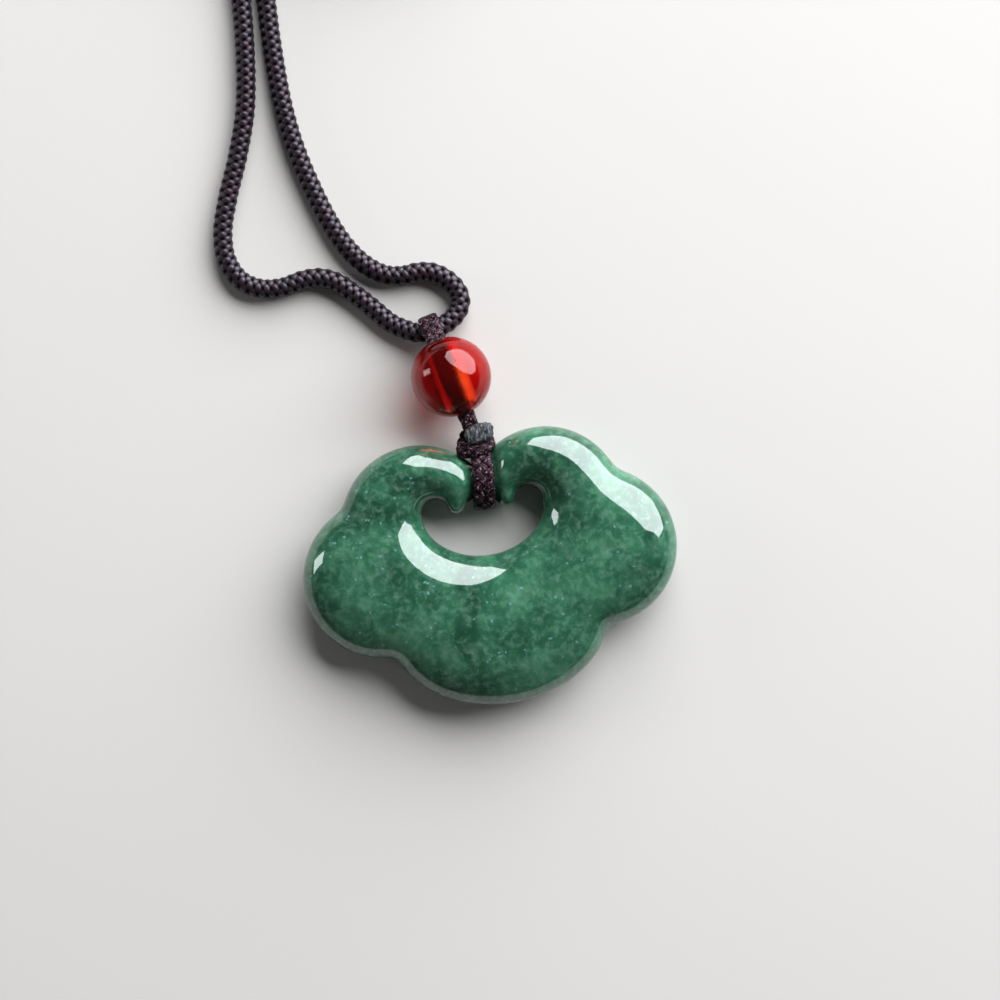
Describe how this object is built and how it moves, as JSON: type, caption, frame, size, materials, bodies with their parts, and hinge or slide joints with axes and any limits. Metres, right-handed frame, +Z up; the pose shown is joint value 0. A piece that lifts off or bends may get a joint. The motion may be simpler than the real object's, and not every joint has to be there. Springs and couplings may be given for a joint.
{
  "type": "jade pendant necklace",
  "caption": "Cloud-lobed polished jade plaque with a crescent hole, hung by a thin doubled cord and a round agate bead on a braided cord necklace, lying flat.",
  "frame": {"origin": "middle of the box of the pendant, bead and hanging cord, on the surface that it lies on", "axes": "+Z up through the plaque's thickness, +Y up the plaque's middle towards the bead and the necklace cord, +X across the plaque"},
  "size_m": [0.0308, 0.0839, 0.0059],
  "materials": {
    "jade": "polished translucent mottled green stone",
    "agate": "polished clear red agate",
    "hanger_cord": "thin waxed dark plum cord",
    "necklace_cord": "round braided dark plum nylon cord",
    "coil_tie": "flat black tie band"
  },
  "bodies": {
    "root": {"jade_pendant": "jade", "agate_bead": "agate", "hanger_cord": "hanger_cord", "necklace_cord": "necklace_cord", "necklace_coil": "necklace_cord", "closing_knot": "necklace_cord", "coil_tie": "coil_tie"}
  },
  "joints": []
}
